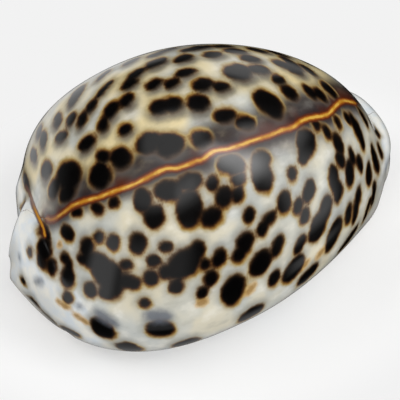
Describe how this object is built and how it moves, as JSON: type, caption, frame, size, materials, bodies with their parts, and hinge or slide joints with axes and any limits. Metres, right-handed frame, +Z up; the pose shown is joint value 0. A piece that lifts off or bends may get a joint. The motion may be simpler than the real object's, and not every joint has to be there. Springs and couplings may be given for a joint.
{
  "type": "cowrie shell",
  "caption": "Glossy egg-shaped tiger cowrie shell, dark spots on cream with a golden line over its back, and a toothed slit along its base, on which it rests as an ornament.",
  "frame": {"origin": "middle of the bounding box, on the plane the shell rests on", "axes": "+X points to the narrow front end, -Y to the outer lip's side, +Z up from the base"},
  "size_m": [0.0858, 0.0604, 0.0452],
  "materials": {
    "spotted_glaze": "natural polish of the shell, as glossy as glazed ceramic: cream to bluish white, with near-black spots edged in brown and a golden line over the back"
  },
  "bodies": {
    "root": {"cowrie_shell": "spotted_glaze"}
  },
  "joints": []
}
